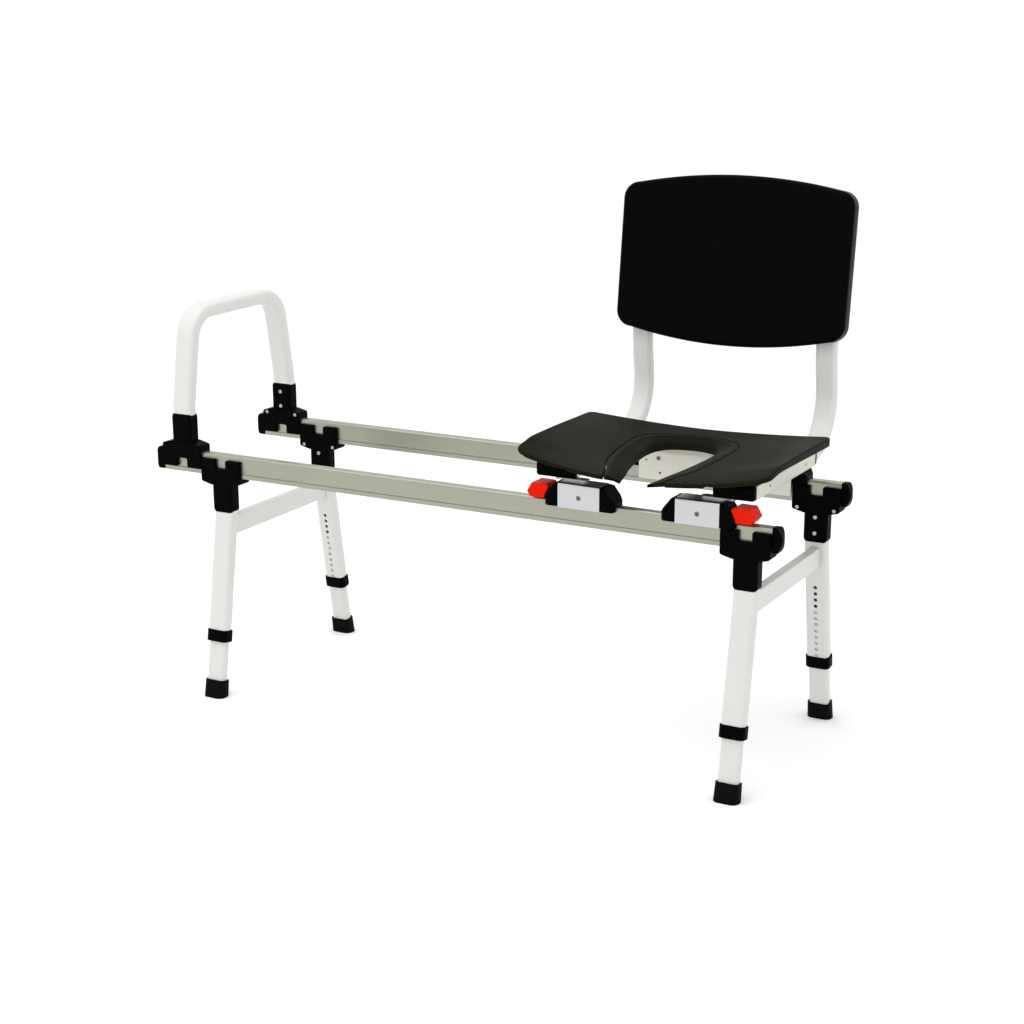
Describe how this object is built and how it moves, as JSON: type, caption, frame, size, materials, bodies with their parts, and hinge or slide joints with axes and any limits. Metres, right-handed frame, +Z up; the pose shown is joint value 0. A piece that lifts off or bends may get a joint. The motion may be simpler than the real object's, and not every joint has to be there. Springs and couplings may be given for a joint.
{
  "type": "bath transfer bench",
  "caption": "Bath transfer bench: dished seat with a front opening and a backrest slides on carriages along rails, with splayed telescopic legs and a grab handle.",
  "frame": {"origin": "centre of the outline on the floor", "axes": "+X along the rails towards the seat's end, -Y towards the user's feet (front), +Z up"},
  "size_m": [1.2954, 0.4995, 1.0034],
  "materials": {
    "rail_aluminium": "satin anodised extrusion",
    "carriage_aluminium": "bright anodised extrusion",
    "frame_aluminium": "satin anodised extrusion",
    "black_nylon": "fine-textured moulding",
    "acetal_glide": "smooth low-friction plastic",
    "white_powder_coat": "smooth white powder coat on aluminium tube",
    "black_rubber": "moulded rubber",
    "stainless_steel": "plain machine screw",
    "spring_steel": "plated spring steel",
    "red_nylon": "semi-gloss red moulding",
    "seat_polyurethane": "integral-skin foam, fine matt grain",
    "back_polyurethane": "integral-skin foam, satin"
  },
  "bodies": {
    "frame": {"bracket_screws": "stainless_steel", "front_rail": "rail_aluminium", "grab_handle": "white_powder_coat", "handle_bracket_inner_front": "black_nylon", "handle_bracket_inner_rear": "black_nylon", "handle_bracket_outer_front": "black_nylon", "handle_bracket_outer_rear": "black_nylon", "leg_brace_left": "white_powder_coat", "leg_brace_right": "white_powder_coat", "leg_bracket_inner_front_left": "black_nylon", "leg_bracket_inner_front_right": "black_nylon", "leg_bracket_inner_rear_left": "black_nylon", "leg_bracket_inner_rear_right": "black_nylon", "leg_bracket_outer_front_left": "black_nylon", "leg_bracket_outer_front_right": "black_nylon", "leg_bracket_outer_rear_left": "black_nylon", "leg_bracket_outer_rear_right": "black_nylon", "leg_collars": "black_nylon", "leg_outer_tube_front_left": "white_powder_coat", "leg_outer_tube_front_right": "white_powder_coat", "leg_outer_tube_rear_left": "white_powder_coat", "leg_outer_tube_rear_right": "white_powder_coat", "rail_end_caps": "black_nylon", "rear_rail": "rail_aluminium"},
    "leg_front_left": {"leg_inner_tube_front_left": "white_powder_coat", "foot_tip_front_left": "black_rubber"},
    "button_front_left": {"snap_clip_front_left": "spring_steel"},
    "leg_front_right": {"leg_inner_tube_front_right": "white_powder_coat", "foot_tip_front_right": "black_rubber"},
    "button_front_right": {"snap_clip_front_right": "spring_steel"},
    "leg_rear_left": {"leg_inner_tube_rear_left": "white_powder_coat", "foot_tip_rear_left": "black_rubber"},
    "button_rear_left": {"snap_clip_rear_left": "spring_steel"},
    "leg_rear_right": {"leg_inner_tube_rear_right": "white_powder_coat", "foot_tip_rear_right": "black_rubber"},
    "button_rear_right": {"snap_clip_rear_right": "spring_steel"},
    "tab_left": {"lock_tab_left": "red_nylon"},
    "tab_right": {"lock_tab_right": "red_nylon"},
    "seat_carriage": {"back_tube_left": "white_powder_coat", "back_tube_plugs": "black_nylon", "back_tube_right": "white_powder_coat", "backrest_panel": "back_polyurethane", "backrest_screws": "stainless_steel", "carriage_cover_front_left": "carriage_aluminium", "carriage_cover_front_right": "carriage_aluminium", "carriage_cover_rear": "carriage_aluminium", "carriage_glides": "acetal_glide", "carriage_screws": "stainless_steel", "carriage_spacers": "carriage_aluminium", "end_pieces_lock": "black_nylon", "end_pieces_plain": "black_nylon", "member_caps": "black_nylon", "opening_rim": "seat_polyurethane", "rear_support_angle": "frame_aluminium", "seat_cross_bar": "frame_aluminium", "seat_mounts": "black_nylon", "seat_pad": "seat_polyurethane", "side_member_left": "frame_aluminium", "side_member_right": "frame_aluminium"}
  },
  "joints": [
    {"name": "seat_slide", "type": "slide", "parent": "frame", "child": "seat_carriage", "axis": [1, 0, 0], "range_m": [-0.68, 0.06]},
    {"name": "leg_height_front_left", "type": "slide", "parent": "frame", "child": "leg_front_left", "axis": [0, -0.165, -0.9863], "range_m": [-0.0762, 0.0635], "deforming": ["snap_clip_front_left"]},
    {"name": "button_press_front_left", "type": "slide", "parent": "leg_front_left", "child": "button_front_left", "axis": [0, -0.9863, 0.165], "range_m": [0, 0.004], "stiffness_N_per_m": 600, "springref_m": -0.002, "deforming": ["snap_clip_front_left"]},
    {"name": "leg_height_front_right", "type": "slide", "parent": "frame", "child": "leg_front_right", "axis": [0, -0.165, -0.9863], "range_m": [-0.0762, 0.0635], "deforming": ["snap_clip_front_right"]},
    {"name": "button_press_front_right", "type": "slide", "parent": "leg_front_right", "child": "button_front_right", "axis": [0, -0.9863, 0.165], "range_m": [0, 0.004], "stiffness_N_per_m": 600, "springref_m": -0.002, "deforming": ["snap_clip_front_right"]},
    {"name": "leg_height_rear_left", "type": "slide", "parent": "frame", "child": "leg_rear_left", "axis": [0, 0.165, -0.9863], "range_m": [-0.0762, 0.0635], "deforming": ["snap_clip_rear_left"]},
    {"name": "button_press_rear_left", "type": "slide", "parent": "leg_rear_left", "child": "button_rear_left", "axis": [0, 0.9863, 0.165], "range_m": [0, 0.004], "stiffness_N_per_m": 600, "springref_m": -0.002, "deforming": ["snap_clip_rear_left"]},
    {"name": "leg_height_rear_right", "type": "slide", "parent": "frame", "child": "leg_rear_right", "axis": [0, 0.165, -0.9863], "range_m": [-0.0762, 0.0635], "deforming": ["snap_clip_rear_right"]},
    {"name": "button_press_rear_right", "type": "slide", "parent": "leg_rear_right", "child": "button_rear_right", "axis": [0, 0.9863, 0.165], "range_m": [0, 0.004], "stiffness_N_per_m": 600, "springref_m": -0.002, "deforming": ["snap_clip_rear_right"]},
    {"name": "tab_pull_left", "type": "slide", "parent": "seat_carriage", "child": "tab_left", "axis": [-1, 0, 0], "range_m": [0, 0.01], "stiffness_N_per_m": 500, "springref_m": -0.002},
    {"name": "tab_pull_right", "type": "slide", "parent": "seat_carriage", "child": "tab_right", "axis": [1, 0, 0], "range_m": [0, 0.01], "stiffness_N_per_m": 500, "springref_m": -0.002}
  ]
}
